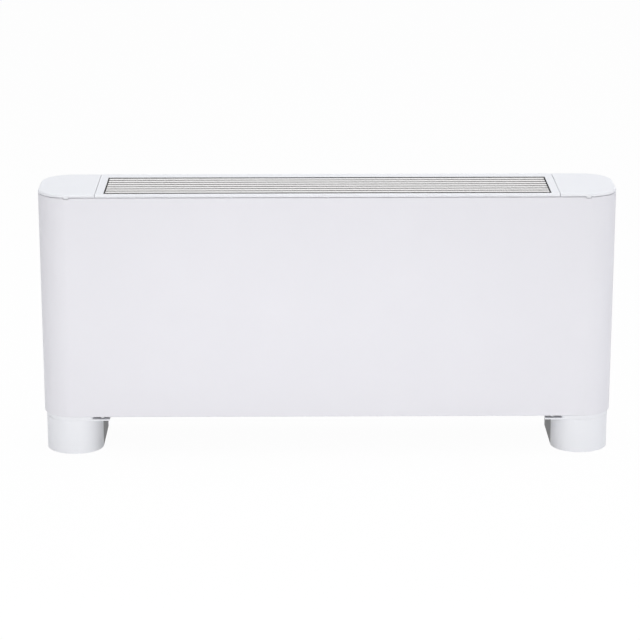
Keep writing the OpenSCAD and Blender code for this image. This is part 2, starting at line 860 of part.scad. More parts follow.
// Inside of the scroll around the wheel's axis, grown outwards by a wall
module scroll_outline(grow) {
    half = scroll_step / 2;
    translate([-half, -half]) quarter_disc(arc_1 + grow, -1, 1);
    translate([half, -half]) quarter_disc(arc_2 + grow, -1, -1);
    translate([half, half]) quarter_disc(arc_3 + grow, 1, -1);
    translate([-half, -half]) square([scroll_step, arc_1 + grow]);
    translate([half, half]) square([arc_3 + grow, arc_1 - scroll_step + grow]);
    translate([tongue_y - grow, scroll_top + grow])
        square([scroll_back - tongue_y + 2 * grow, deck_rise - scroll_top - grow]);
}

// Upper or lower half of a section around the wheel's axis
module half_section(upper) {
    reach = 2 * arc_3;
    intersection() {
        children();
        translate([-reach, upper ? 0 : -reach]) square([2 * reach, reach]);
    }
}

// Half of the bell mouth on a scroll's side, around Z with its mouth at Z = 0
module bell_mouth(upper) {
    rotate([0, 90, 0])
        rotate([0, 0, upper ? 90 : -90])
            rotate_extrude(angle = 180)
                translate([bell_hole_r, bell_r])
                    difference() {
                        quarter_disc(bell_r + scroll_t, -1, -1);
                        circle(bell_r);
                    }
}

// Half of the scroll housing on the right
module scroll_half(upper) {
    side_x = scroll_w / 2;
    translate([fan_x, fan_y, fan_z]) {
        along_x(-side_x, scroll_w)
            half_section(upper)
                difference() {
                    scroll_outline(scroll_t);
                    scroll_outline(0);
                }
        for (end = [0, 1])
            mirror([end, 0, 0]) {
                along_x(-side_x - scroll_t, scroll_t)
                    half_section(upper)
                        difference() {
                            scroll_outline(scroll_t);
                            circle(bell_hole_r);
                        }
                translate([-side_x, 0, 0]) bell_mouth(upper);
            }
        if (upper) outlet_flange();
    }
}

// Flange around a scroll's outlet, under the deck
module outlet_flange() {
    flange_t = outlet_flange_t;
    out_x = scroll_w / 2 + scroll_t + outlet_flange_w;
    front = tongue_y - scroll_t - outlet_flange_w;
    difference() {
        translate([-out_x, front, deck_rise - flange_t])
            cube([2 * out_x, scroll_back + scroll_t - front, flange_t]);
        translate([-scroll_w / 2 - scroll_t, tongue_y - scroll_t, deck_rise - flange_t - 1])
            cube([scroll_w + 2 * scroll_t, scroll_back - tongue_y + 3 * scroll_t, flange_t + 2]);
        translate([-fan_x, -fan_y, -fan_z])
            scroll_screw_places()
                translate([0, 0, deck_z - flange_t - 1])
                    cylinder(h = flange_t + 2, d = scroll_screw_d + 2 * running_gap);
    }
}

module left_scroll_upper() {
    color(black_plastic) mirror([1, 0, 0]) scroll_half(true);
}

module left_scroll_lower() {
    color(black_plastic) mirror([1, 0, 0]) scroll_half(false);
}

module right_scroll_upper() {
    color(black_plastic) scroll_half(true);
}

module right_scroll_lower() {
    color(black_plastic) scroll_half(false);
}

// Places of the screws that hold the scrolls to the deck
module scroll_screw_places() {
    both_ends()
        for (x = [-1, 1])
            for (y = [tongue_y + 10, scroll_back - 20])
                translate([
                    fan_x + x * (scroll_w / 2 + scroll_t + outlet_flange_w / 2),
                    fan_y + y,
                    0
                ]) children();
}

module scroll_screws() {
    color(zinc)
        scroll_screw_places() {
            translate([0, 0, deck_z - 8]) cylinder(h = 8 + chassis_t, d = scroll_screw_d);
            translate([0, 0, deck_top_z]) cylinder(h = 2.5, d = 7.5);
        }
}

// One forward-curved blade of a fan wheel
module vane() {
    intersection() {
        difference() {
            circle(wheel_r);
            circle(vane_in_r);
        }
        translate([wheel_r - vane_depth / 2, 0])
            difference() {
                circle(vane_r + vane_t / 2);
                circle(vane_r - vane_t / 2);
            }
        translate([0, -2 * vane_r]) square([wheel_r, 2 * vane_r]);
    }
}

module wheel_ring() {
    difference() {
        circle(wheel_r + wheel_lip);
        circle(vane_in_r - wheel_lip);
    }
}

// Double-inlet fan wheel on the right: two rows of blades, end rings and a middle disc
module fan_wheel() {
    row_l = wheel_w / 2 - wheel_ring_t - wheel_ring_t / 2;
    translate([fan_x, fan_y, fan_z])
        difference() {
            union() {
                along_x(-wheel_ring_t / 2, wheel_ring_t) circle(wheel_r + wheel_lip);
                for (end = [0, 1])
                    mirror([end, 0, 0]) {
                        along_x(wheel_w / 2 - wheel_ring_t, wheel_ring_t) wheel_ring();
                    }
                for (x = [wheel_ring_t / 2, -wheel_ring_t / 2 - row_l])
                    along_x(x, row_l)
                        for (i = [0:wheel_blades - 1]) rotate(i * 360 / wheel_blades) vane();
                rod_x(-hub_l / 2, hub_l / 2, 0, 0, hub_d / 2);
            }
            rod_x(-hub_l, hub_l, 0, 0, shaft_d / 2 + fit_gap);
        }
}

module left_fan_wheel() {
    color(black_plastic) translate([-2 * fan_x, 0, 0]) fan_wheel();
}

module right_fan_wheel() {
    color(black_plastic) fan_wheel();
}

module fan_shaft() {
    shaft_half = fan_x + shaft_past;
    color(zinc) rod_x(-shaft_half, shaft_half, fan_y, fan_z, shaft_d / 2);
}

// Motor turned about its shaft: a ribbed barrel, two stepped end shields and bearing bosses
module motor_body() {
    barrel = motor_l / 2;
    shield_r = motor_d / 2 - motor_rib_h;
    ribs = 5;
    rib_step = motor_l / ribs;
    color([0.55, 0.57, 0.60])
        difference() {
            union() {
                rod_x(-barrel, barrel, fan_y, fan_z, shield_r);
                for (i = [0:ribs - 1])
                    rod_x(-barrel + i * rib_step + motor_rib_gap / 2,
                        -barrel + (i + 1) * rib_step - motor_rib_gap / 2,
                        fan_y, fan_z, motor_d / 2);
                rod_x(-barrel - shield_l, barrel + shield_l, fan_y, fan_z, shield_r - shield_l);
                rod_x(-boss_end, boss_end, fan_y, fan_z, boss_d / 2);
            }
            rod_x(-boss_end - 1, boss_end + 1, fan_y, fan_z, shaft_d / 2 + running_gap);
        }
}

module motor_rubber_rings() {
    color([0.1, 0.1, 0.1])
        both_ends()
            difference() {
                rod_x(ring_x, ring_x + rubber_w, fan_y, fan_z, boss_d / 2 + rubber_t);
                rod_x(ring_x - 1, ring_x + rubber_w + 1, fan_y, fan_z, boss_d / 2 + fit_gap);
            }
}

// Bracket that hangs from the deck and holds the motor by its rubber rings
module motor_bracket() {
    eye_r = boss_d / 2 + rubber_t;
    leg_x = ring_x + rubber_w / 2 - bracket_t / 2;
    color(zinc) {
        both_ends()
            translate([0, fan_y, fan_z])
                along_x(leg_x, bracket_t)
                    difference() {
                        union() {
                            circle(eye_r + eye_w);
                            translate([-bracket_w / 2, 0]) square([bracket_w, deck_rise - bracket_t]);
                        }
                        circle(eye_r + fit_gap);
                    }
        translate([-leg_x - bracket_t, fan_y - bracket_w / 2, deck_z - bracket_t])
            cube([2 * (leg_x + bracket_t), bracket_w, bracket_t]);
    }
}

// Coil

module in_coil() {
    translate([0, coil_y, coil_z]) rotate([-coil_tilt, 0, 0]) children();
}

// Height of tube number i along the coil
function tube_z(i) = (i - (tubes_per_row - 1) / 2) * tube_pitch;

// One side of the fin pack: a raised fin at each step, with a gap on either side of it
function comb_side(y, depth) = [
    for (i = [0:fin_count])
        let (x = -coil_half + i * fin_step)
            each [[x, y - depth], [x, y], [x + fin_t, y], [x + fin_t, y - depth]]
];

// Plan of the fin pack, with the gaps between the fins on both faces
module fin_comb() {
    front = comb_side(fin_d / 2, fin_gap_depth);
    back = comb_side(-fin_d / 2, -fin_gap_depth);
    polygon(concat(front, [for (i = [len(back) - 1:-1:0]) back[i]]));
}

module coil_fins() {
    color(fin_silver)
        in_coil()
            difference() {
                linear_extrude(fin_h, center = true) fin_comb();
                for (y = rows)
                    for (i = [0:tubes_per_row - 1])
                        rod_x(-coil_half - 1, coil_half + 1, y, tube_z(i), tube_r + fit_gap);
            }
}

// U-shaped tubes: two legs through the fins and a bend past the right end plate
module coil_hairpins() {
    bend_x = coil_half + 8;
    color(copper)
        in_coil()
            for (y = rows)
                for (i = [0:2:tubes_per_row - 2]) {
                    for (j = [i, i + 1]) rod_x(-tube_end, bend_x, y, tube_z(j), tube_r);
                    translate([bend_x, y, tube_z(i) + tube_pitch / 2])
                        rotate([90, 90, 0])
                            rotate_extrude(angle = 180) translate([tube_pitch / 2, 0]) circle(tube_r);
                }
}

// Bends past the left end plate that lead each circuit from row to row
module coil_return_bends() {
    color(copper)
        in_coil()
            for (i = [0:tubes_per_row - 1])
                translate([-tube_end, (i % 2 == 0 ? 1 : -1) * row_pitch / 2, tube_z(i)])
                    rotate([0, 0, 90])
                        rotate_extrude(angle = 180) translate([row_pitch / 2, 0]) circle(tube_r);
}

// Tube sheet on the right: a pierced plate whose folded edges meet the end plate
module tube_sheet() {
    in_coil()
        difference() {
            union() {
                translate([coil_half, -fin_d / 2, -fin_h / 2]) cube([tube_sheet_t, fin_d, fin_h]);
                for (side = [-1, 1])
                    translate([coil_half, side * (fin_d - tube_sheet_t) / 2 - tube_sheet_t / 2, -fin_h / 2])
                        cube([coil_end_gap, tube_sheet_t, fin_h]);
            }
            for (y = rows)
                for (i = [0:tubes_per_row - 1])
                    rod_x(coil_half - 1, coil_half + tube_sheet_t + 1, y, tube_z(i), tube_r + fit_gap);
        }
}

module left_tube_sheet() {
    color(zinc) mirror([1, 0, 0]) tube_sheet();
}

module right_tube_sheet() {
    color(zinc) tube_sheet();
}

// Depth and height in the cabinet of a point of the coil's frame
function coil_place(y, z) = [
    coil_y + y * cos(coil_tilt) + z * sin(coil_tilt),
    coil_z - y * sin(coil_tilt) + z * cos(coil_tilt)
];

supply_place = coil_place(-row_pitch, -socket_spread / 2);
return_place = coil_place(row_pitch, socket_spread / 2);

// Header along one face of the coil, with its tube stubs
module header(y, first) {
    in_coil() {
        translate([-header_x, y, -header_half]) cylinder(h = 2 * header_half, d = header_d);
        for (i = [first:2:tubes_per_row - 1]) rod_x(-header_x, -tube_end, y, tube_z(i), tube_r);
    }
}

// Pipe from a header that turns down into its socket
module socket_pipe(place) {
    pipe_r = socket_pipe_d / 2;
    bend_x = -socket_x + socket_bend_r;
    rod_x(bend_x, -header_x, place[0], place[1], pipe_r);
    translate([bend_x, place[0], place[1]]) bend_down(socket_bend_r, pipe_r);
    translate([-socket_x, place[0], place[1] - socket_drop - socket_hold])
        cylinder(h = socket_drop + socket_hold - socket_bend_r, r = pipe_r);
}

module supply_header() {
    color(copper) {
        header(-row_pitch, 0);
        socket_pipe(supply_place);
    }
}

module return_header() {
    color(copper) {
        header(row_pitch, 1);
        socket_pipe(return_place);
    }
}

// Hexagonal sockets with a round bore that opens downwards
module water_sockets() {
    color(brass)
        for (place = [supply_place, return_place])
            translate([-socket_x, place[0], place[1] - socket_drop - socket_l])
                difference() {
                    rotate([0, 0, 30]) cylinder(h = socket_l, r = socket_r / cos(30), $fn = 6);
                    translate([0, 0, -1]) cylinder(h = socket_depth + 1, d = socket_bore_d);
                    translate([0, 0, socket_l - socket_hold])
                        cylinder(h = socket_hold + 1, d = socket_pipe_d + 2 * fit_gap);
                }
}

module air_vent_body() {
    color(brass)
        in_coil()
            translate([-header_x, row_pitch, header_half])
                difference() {
                    union() {
                        cylinder(h = vent_l, r = vent_r);
                        translate([0, 0, 3]) cylinder(h = 5, r = vent_r + 2, $fn = 6);
                    }
                    translate([0, 0, vent_l - vent_screw_l])
                        cylinder(h = vent_screw_l + 1, d = 5 + 2 * running_gap);
                }
}

// Slotted screw that turns in the top of the air vent
module air_vent_screw() {
    color(brass)
        in_coil()
            translate([-header_x, row_pitch, header_half + vent_l])
                difference() {
                    union() {
                        translate([0, 0, 0.5 - vent_screw_l]) cylinder(h = vent_screw_l, d = 5);
                        translate([0, 0, 0.4]) cylinder(h = 4, r = vent_r - 1);
                    }
                    translate([-vent_r, -0.6, 2.9]) cube([2 * vent_r, 1.2, 2]);
                }
}

// Condensate

// Section of the drain pan with rounded lower corners, stepped in by a wall
module pan_section(step, top) {
    r = 6 - step;
    w = pan_y1 - pan_y0 - 2 * step;
    translate([pan_y0 + step, deck_top_z + step]) {
        translate([r, 0]) square([w - 2 * r, top]);
        translate([0, r]) square([r, top - r]);
        translate([w - r, r]) square([r, top - r]);
        translate([r, r]) quarter_disc(r, -1, -1);
        translate([w - r, r]) quarter_disc(r, 1, -1);
    }
}

// Drain pan: a trough under the coil, closed by a cap let into each end
module drain_pan() {
    color(black_plastic)
        difference() {
            union() {
                difference() {
                    along_x(-pan_half, 2 * pan_half) pan_section(0, pan_h);
                    along_x(-pan_half - 1, 2 * pan_half + 2) pan_section(pan_t, pan_h);
                }
                for (x = [-pan_half, pan_half - pan_t])
                    along_x(x, pan_t) pan_section(pan_t + fit_gap, pan_h - pan_t - fit_gap);
            }
            rod_x(-pan_half - 1, -pan_half + pan_t + 1, spigot_y, spigot_z, spigot_neck_r + fit_gap);
        }
}

// Run of a drain pipe from the pan through the left end plate and down to the hose end
module drain_run(neck_r, hose_r, x1, tip) {
    bend_x = -spigot_x + spigot_bend_r;
    rod_x(bend_x, x1, spigot_y, spigot_z, neck_r);
    translate([bend_x, spigot_y, spigot_z]) bend_down(spigot_bend_r, neck_r);
    translate([-spigot_x, spigot_y, spigot_z - spigot_bend_r - spigot_l - tip])
        cylinder(h = spigot_l + tip, r = hose_r);
}

module drain_spigot() {
    bore_r = spigot_r - 2;
    color(black_plastic)
        difference() {
            union() {
                drain_run(spigot_neck_r, spigot_r, -pan_half + pan_t, 0);
                rod_x(-pan_half - 2.5, -pan_half, spigot_y, spigot_z, spigot_r + 2);
            }
            drain_run(bore_r, bore_r, -pan_half + pan_t + 1, 1);
        }
}

// Filter

module filter_frame() {
    lug_w = 6;
    lug_r = filter_t / 2;
    color(black_plastic) {
        difference() {
            translate([-filter_half, filter_y0, filter_z])
                cube([2 * filter_half, filter_y1 - filter_y0, filter_t]);
            translate([-filter_half + filter_rail_w, filter_y0 + filter_rail_w, filter_z - 1])
                cube([
                    2 * (filter_half - filter_rail_w),
                    filter_y1 - filter_y0 - 2 * filter_rail_w,
                    filter_t + 2
                ]);
        }
        both_ends()
            along_x(filter_hinge_x - lug_w / 2, lug_w)
                difference() {
                    union() {
                        translate([filter_y1, filter_z])
                            square([filter_axis_y - filter_y1, filter_t]);
                        translate([filter_axis_y, filter_axis_z])
                            for (up = [-1, 1]) quarter_disc(lug_r, 1, up);
                    }
                    translate([filter_axis_y, filter_axis_z]) circle(filter_pin_d / 2 + running_gap);
                }
    }
}

// Mesh sheet with stiffening ribs, inside the filter frame
module filter_mesh() {
    inner_half = filter_half - filter_rail_w;
    rib_n = floor(2 * inner_half / mesh_pitch);
    rib_step = 2 * inner_half / rib_n;
    depth = filter_y1 - filter_y0 - 2 * filter_rail_w;
    color([0.25, 0.27, 0.29]) {
        translate([-inner_half, filter_y0 + filter_rail_w, filter_z + filter_t / 2 - 1])
            cube([2 * inner_half, depth, 2]);
        for (i = [1:rib_n - 1])
            translate([-inner_half + i * rib_step - 1, filter_y0 + filter_rail_w, filter_z + 0.5])
                cube([2, depth, filter_t / 2]);
    }
}

// Ears on the back panel, one on each side of a filter lug
module filter_hinge_ears() {
    ear_r = filter_t / 2;
    ear_t = 2;
    gap = 3 + loose_gap;
    color(zinc)
        both_ends()
            for (x = [filter_hinge_x - gap - ear_t, filter_hinge_x + gap])
                along_x(x, ear_t)
                    difference() {
                        union() {
                            translate([filter_axis_y, filter_z])
                                square([back_face_y - filter_axis_y, filter_t]);
                            translate([filter_axis_y, filter_axis_z])
                                for (up = [-1, 1]) quarter_disc(ear_r, -1, up);
                        }
                        translate([filter_axis_y, filter_axis_z]) circle(filter_pin_d / 2 + fit_gap);
                    }
}

module filter_hinge_pins() {
    reach = 7;
    color(zinc)
        both_ends()
            rod_x(filter_hinge_x - reach, filter_hinge_x + reach, filter_axis_y, filter_axis_z,
                filter_pin_d / 2);
}

// Spring clips behind the front rail that bear on the filter's front edge
module filter_clips() {
    color(zinc)
        both_ends() {
            translate([filter_hinge_x - clip_w / 2, rail_y, filter_z + 1])
                cube([clip_w, 1, rail_z + rail_h / 2 - filter_z - 1]);
            translate([filter_hinge_x - clip_w / 2, rail_y + 1, filter_z + 3])
                cube([clip_w, 1 - loose_gap, 3]);
        }
}

// Electrics

module control_box() {
    color([0.85, 0.85, 0.83])
        difference() {
            translate([end_x, box_y, box_z]) cube([box_depth, box_w, box_h]);
            translate([end_x + box_t, box_y + box_t, box_z + box_t])
                cube([box_depth, box_w - 2 * box_t, box_h - 2 * box_t]);
            translate([gland_x, 0, box_z - 1])
                cylinder(h = box_t + 2, r = gland_r - 2 + fit_gap);
        }
}

module control_box_cover() {
    lip = 4;
    inner = box_t + 0.3;
    color([0.85, 0.85, 0.83]) {
        translate([end_x + box_depth, box_y, box_z]) cube([box_t, box_w, box_h]);
        translate([end_x + box_depth - lip, box_y + inner, box_z + inner])
            difference() {
                cube([lip, box_w - 2 * inner, box_h - 2 * inner]);
                translate([-1, box_t, box_t])
                    cube([lip + 1, box_w - 2 * inner - 2 * box_t, box_h - 2 * inner - 2 * box_t]);
            }
    }
}

// Row of terminals on the back wall of the control box
module terminal_block() {
    ways = 6;
    way_w = 10;
    color([0.90, 0.89, 0.85])
        translate([end_x + box_t, -ways * way_w / 2, box_z + terminal_rise])
            difference() {
                union() {
                    cube([8, ways * way_w, terminal_h]);
                    translate([8, 0, 6]) cube([10, ways * way_w, terminal_h - 12]);
                }
                for (i = [0:ways - 1])
                    translate([4, (i + 0.5) * way_w, terminal_h / 2])
                        rotate([0, 90, 0]) cylinder(h = 20, d = 5);
            }
}

module capacitor() {
    cap_r = capacitor_d / 2;
    cap_l = 70;
    color([0.75, 0.76, 0.78])
        translate([end_x + box_t + cap_r, -cap_l / 2, box_z + box_h - box_t - cap_r - 4])
            rotate([-90, 0, 0]) {
                cylinder(h = cap_l, r = cap_r);
                translate([0, 0, cap_l]) cylinder(h = 6, r = cap_r - 6);
            }
}

// Gland in the bottom of the control box, for a cable from below
module cable_gland() {
    color(black_plastic)
        translate([gland_x, 0, box_z])
            difference() {
                union() {
                    translate([0, 0, -gland_l]) cylinder(h = gland_l, r = gland_r);
                    cylinder(h = box_t + 6, r = gland_r - 2);
                    translate([0, 0, box_t]) cylinder(h = 4, r = gland_r + 1, $fn = 6);
                }
                translate([0, 0, -gland_l - 1]) cylinder(h = gland_l + box_t + 8, d = gland_bore_d);
            }
}

// Feet

// Plan of a foot: a plain inner side and rounded front and outer corners
module foot_plan(x0, x1, y0, y1, r_in, r_out) {
    translate([x0 + r_in, y0]) square([x1 - r_out - x0 - r_in, y1 - y0]);
    translate([x0, y0 + r_in]) square([r_in, y1 - y0 - r_in]);
    translate([x1 - r_out, y0 + r_out]) square([r_out, y1 - y0 - 2 * r_out]);
    translate([x0 + r_in, y0 + r_in]) quarter_disc(r_in, -1, -1);
    translate([x1 - r_out, y0 + r_out]) quarter_disc(r_out, 1, -1);
    translate([x1 - r_out, y1 - r_out]) quarter_disc(r_out, 1, 1);
}

// Space behind the leg bracket that a foot's moulding leaves open
module foot_inner_side(x, y) {
    translate([0, y]) square([x, unit_d]);
}

// Ring of the foot's wall, with its outside set in by a step
module foot_wall(step, z0, height) {
    in_t = foot_t;
    translate([0, 0, z0])
        linear_extrude(height)
            difference() {
                foot_plan(foot_x0 + step, foot_x1 - step, foot_y0 + step, foot_y1 - step,
                    foot_inner_r - step, foot_outer_r - step);
                foot_plan(foot_x0 + in_t, foot_x1 - in_t, foot_y0 + in_t, foot_y1 - in_t,
                    foot_inner_r - in_t, foot_outer_r - in_t);
                foot_inner_side(foot_x0 + foot_inner_r, leg_y);
            }
}

// Moulded shroud of the right foot: a wall, a rim that reaches inwards and a band over it
module foot_shroud() {
    rim_w = 14;
    band_x = foot_x0 + rim_gap_w;
    band_r = 10;
    in_t = foot_t;
    open_x = foot_x0 + foot_inner_r;
    wall_top = rim_z - rim_t;
    difference() {
        union() {
            foot_wall(0, 0, wall_top - groove_h);
            foot_wall(groove_d, wall_top - groove_h, groove_h);
            translate([0, 0, rim_z - rim_t])
                linear_extrude(rim_t)
                    difference() {
                        union() {
                            foot_plan(foot_x0, foot_x1, foot_y0, foot_y1, foot_inner_r, foot_outer_r);
                            translate([foot_x0 - rim_reach, foot_y0])
                                square([rim_reach + foot_inner_r, foot_inner_r]);
                        }
                        foot_plan(foot_x0 + in_t, foot_x1 - in_t, foot_y0 + rim_w, foot_y1 - in_t,
                            foot_inner_r - rim_w, foot_outer_r - rim_w);
                        foot_inner_side(open_x, leg_y - loose_gap);
                    }
            translate([0, 0, rim_z])
                linear_extrude(rim_drop)
                    difference() {
                        foot_plan(band_x, foot_x1, foot_y0, foot_y1, band_r, foot_outer_r);
                        foot_plan(band_x + in_t, foot_x1 - in_t, foot_y0 + in_t, foot_y1 - in_t,
                            band_r - in_t, foot_outer_r - in_t);
                        foot_inner_side(open_x, leg_y - 20);
                    }
        }
        translate([0, foot_back_y, -1]) cube([unit_w, unit_d, foot_h + 2]);
    }
}

module left_foot_shroud() {
    color(white) mirror([1, 0, 0]) foot_shroud();
}

module right_foot_shroud() {
    color(white) foot_shroud();
}

// Steel leg under the right end plate: an upright with a top and a bottom flange
module leg_bracket() {
    depth = foot_back_y - leg_y;
    difference() {
        union() {
            translate([foot_x0, leg_y, 0]) cube([leg_t, depth, base_z]);
            translate([foot_x0, leg_y, base_z - leg_t]) cube([leg_flange_w, depth, leg_t]);
            translate([foot_x0, leg_y, 0]) cube([leg_flange_w, depth, leg_t]);
            for (y = [leg_y, foot_back_y - leg_t])
                translate([foot_x0, y, 0]) cube([leg_fold_w, leg_t, base_z]);
        }
        for (y = bolt_ys)
            translate([bolt_x, y, base_z - leg_t - 1])
                cylinder(h = leg_t + 2, d = bolt_d + 2 * running_gap);
    }
}

module left_leg_bracket() {
    color([0.50, 0.50, 0.51]) mirror([1, 0, 0]) leg_bracket();
}

module right_leg_bracket() {
    color([0.50, 0.50, 0.51]) leg_bracket();
}

// Bolts, each with its nut, that hold the legs to the end plates
module foot_bolts() {
    head_h = 5;
    color(zinc)
        both_ends()
            for (y = bolt_ys)
                translate([bolt_x, y, base_z]) {
                    translate([0, 0, -leg_t - head_h]) cylinder(h = head_h, d = 13 / cos(30), $fn = 6);
                    translate([0, 0, -leg_t]) cylinder(h = leg_t + chassis_t + 10, d = bolt_d);
                    translate([0, 0, chassis_t]) cylinder(h = 6, d = 13 / cos(30), $fn = 6);
                }
}

// Pan-head screws under the casing's bottom flange
module casing_screws() {
    color(zinc)
        both_ends()
            translate([screw_x, screw_y, casing_z]) {
                cylinder(h = sheet_t + chassis_t + 8, d = screw_d);
                translate([0, 0, -2]) cylinder(h = 2, d = 9);
            }
}

front_casing();
front_insulation();
top_frame();
grille_frame();
for (i = [1:blade_count])
    outlet_blade(i);
left_lid();
right_lid();
lid_hinge_brackets();
lid_hinge_pins();
back_panel();
left_end_plate();
right_end_plate();
fan_deck();
front_rail();
left_scroll_upper();
left_scroll_lower();
right_scroll_upper();
right_scroll_lower();
scroll_screws();
left_fan_wheel();
right_fan_wheel();
fan_shaft();
motor_body();
motor_rubber_rings();
motor_bracket();
coil_fins();
coil_hairpins();
coil_return_bends();
left_tube_sheet();
right_tube_sheet();
supply_header();
return_header();
water_sockets();
air_vent_body();
air_vent_screw();
drain_pan();
drain_spigot();
filter_frame();
filter_mesh();
filter_hinge_ears();
filter_hinge_pins();
filter_clips();
control_box();
control_box_cover();
terminal_block();
capacitor();
cable_gland();
left_foot_shroud();
right_foot_shroud();
left_leg_bracket();
right_leg_bracket();
foot_bolts();
casing_screws();
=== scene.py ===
# %% [markdown]
# # A floor-standing fan coil unit
#
# The real object is a white sheet-steel cabinet on two moulded feet. Air goes in from
# below, through a filter, two fans and a coil of finned tubes, and leaves at the top
# between long blades. The solids come from the CAD model, which is the fixed frame here.
# This lesson adds what the solids lack: finishes, thin pieces and light.

# %% Load the frame
import json
import math

import bmesh
import bpy
import numpy as np
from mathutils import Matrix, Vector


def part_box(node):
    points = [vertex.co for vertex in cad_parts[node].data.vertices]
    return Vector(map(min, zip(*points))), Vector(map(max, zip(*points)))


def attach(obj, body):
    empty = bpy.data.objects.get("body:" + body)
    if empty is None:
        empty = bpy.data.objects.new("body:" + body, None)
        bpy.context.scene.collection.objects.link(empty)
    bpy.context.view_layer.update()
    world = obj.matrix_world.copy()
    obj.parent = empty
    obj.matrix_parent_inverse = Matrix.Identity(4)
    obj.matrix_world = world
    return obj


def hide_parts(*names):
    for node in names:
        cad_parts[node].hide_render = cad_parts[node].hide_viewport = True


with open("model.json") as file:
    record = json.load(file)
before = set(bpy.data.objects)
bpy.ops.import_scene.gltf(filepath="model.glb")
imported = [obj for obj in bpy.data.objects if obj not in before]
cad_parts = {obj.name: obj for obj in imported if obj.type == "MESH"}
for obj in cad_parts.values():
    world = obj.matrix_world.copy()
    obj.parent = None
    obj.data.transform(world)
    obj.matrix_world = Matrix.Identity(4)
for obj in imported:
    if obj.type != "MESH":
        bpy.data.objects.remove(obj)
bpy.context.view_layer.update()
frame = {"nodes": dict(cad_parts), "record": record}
nodes = frame["nodes"]
slots = {entry["node"]: entry["material_slot"] for entry in frame["record"]["subparts"]}

# %% [markdown]
# ## Writing a finish as maths
#
# A finish is a small network of nodes. Wiring it by hand hides the idea, so a socket is
# wrapped in a class: sums and products of sockets then read as plain expressions, and
# every other node comes from one method.

# %% The socket class
class Flow:
    """An output socket; sums and products of it add Math nodes to the same network."""

    def __init__(self, socket):
        self.socket = socket

    def node(self, kind, settings=None, out=0, **inputs):
        """Adds a node: its settings first, then a value or a Flow for each socket.

        A socket is written with _ for a space, or by its place, as i0, where names repeat.
        """
        tree = self.socket.id_data
        made = tree.nodes.new(kind)
        for key, value in (settings or {}).items():
            setattr(made, key, value)
        for key, value in inputs.items():
            slot = made.inputs[int(key[1:]) if key[1:].isdigit() else key.replace("_", " ")]
            if isinstance(value, Flow):
                tree.links.new(value.socket, slot)
            else:
                slot.default_value = value
        return Flow(made.outputs[out])

    def maths(self, operation, first, second):
        return self.node("ShaderNodeMath", {"operation": operation}, i0=first, i1=second)

    def __add__(self, other):
        return self.maths("ADD", self, other)

    def __radd__(self, other):
        return self.maths("ADD", other, self)

    def __mul__(self, other):
        return self.maths("MULTIPLY", self, other)

    def __rmul__(self, other):
        return self.maths("MULTIPLY", other, self)

    def noise(self, scale, detail=2.0, roughness=0.5):
        return self.node("ShaderNodeTexNoise", Vector=self, Scale=scale, Detail=detail,
                         Roughness=roughness)

    def stretched(self, x, y, z):
        return self.node("ShaderNodeMapping", Vector=self, Scale=(x, y, z))

    def blend(self, low, high):
        """Mixes two colours by this value; a Mix node keeps its colours at 6, 7 and output 2."""
        return self.node("ShaderNodeMix", {"data_type": "RGBA"}, out=2, i0=self,
                         i6=(*low, 1.0), i7=(*high, 1.0))

    def bump(self, strength, distance):
        return self.node("ShaderNodeBump", Height=self, Strength=strength, Distance=distance)


print("sockets can be written as maths")


# %% From a recipe to a material
def finish_of(name, recipe, **constants):
    """Makes a material: recipe(place) gives what varies, and constants are set as they are."""
    material = bpy.data.materials.new(name)
    material.use_nodes = True
    tree = material.node_tree
    shader = tree.nodes["Principled BSDF"]
    for key, value in constants.items():
        shader.inputs[key.replace("_", " ")].default_value = value
    place = Flow(tree.nodes.new("ShaderNodeTexCoord").outputs["Object"])
    for key, flow in recipe(place).items():
        tree.links.new(flow.socket, shader.inputs[key.replace("_", " ")])
    return material


def grained(tones, drift, grain, rough, relief, stretch=(1.0, 1.0, 1.0)):
    """A recipe: a slow noise drifts between two tones, and a fine one, stretched where the
    surface was drawn or turned, sets the roughness (least, spread) and the relief."""
    def recipe(place):
        fine = place.stretched(*stretch).noise(*grain)
        least, spread = rough
        return {
            "Base_Color": place.noise(*drift).blend(*tones),
            "Roughness": least + fine * spread,
            "Normal": fine.bump(*relief),
        }
    return recipe


finishes = {}
print("recipes can be made into materials")

# %% [markdown]
# ## White enamel and white mouldings
#
# The casing is painted steel. Sprayed enamel is never quite flat: it has a faint
# orange-peel ripple about a millimetre wide, and its gloss drifts over a hand's width.
# The lids, frame and feet are moulded plastic, with a finer grain and less gloss. The
# polish of a mould for long blades runs along them, so their grain is stretched that way.

# %% White finishes
def enamel(place):
    drift = place.noise(6.0, 3.0)
    peel = place.noise(700.0, 1.0)
    return {
        "Base_Color": drift.blend((0.805, 0.799, 0.836), (0.835, 0.829, 0.863)),
        "Roughness": 0.48 + drift * 0.10,
        "Normal": peel.bump(0.25, 0.00006),
    }


white_moulding = grained(
    tones=((0.848, 0.856, 0.885), (0.878, 0.886, 0.911)), drift=(9.0, 3.0),
    grain=(1600.0, 2.0, 0.6), rough=(0.42, 0.14), relief=(0.3, 0.00005))
outlet_moulding = grained(
    tones=((0.855, 0.838, 0.825), (0.905, 0.888, 0.875)), drift=(14.0, 3.0),
    grain=(1300.0, 2.0, 0.6), rough=(0.44, 0.12), relief=(0.3, 0.00005),
    stretch=(0.05, 1.0, 1.0))
finishes |= {
    "casing_paint": finish_of("casing_enamel", enamel, Specular_IOR_Level=0.45),
    "moulded_white": finish_of("white_moulding", white_moulding),
    "outlet_grey": finish_of("outlet_moulding", outlet_moulding),
}
print("white finishes:", list(finishes))

# %% [markdown]
# ## Steel and its paints
#
# Galvanised sheet shows flat crystals of zinc, which Voronoi cells give at once: each
# cell takes its own brightness and gloss. Plated screws are finer and brighter. The legs
# and the motor are painted over a coarser ground.

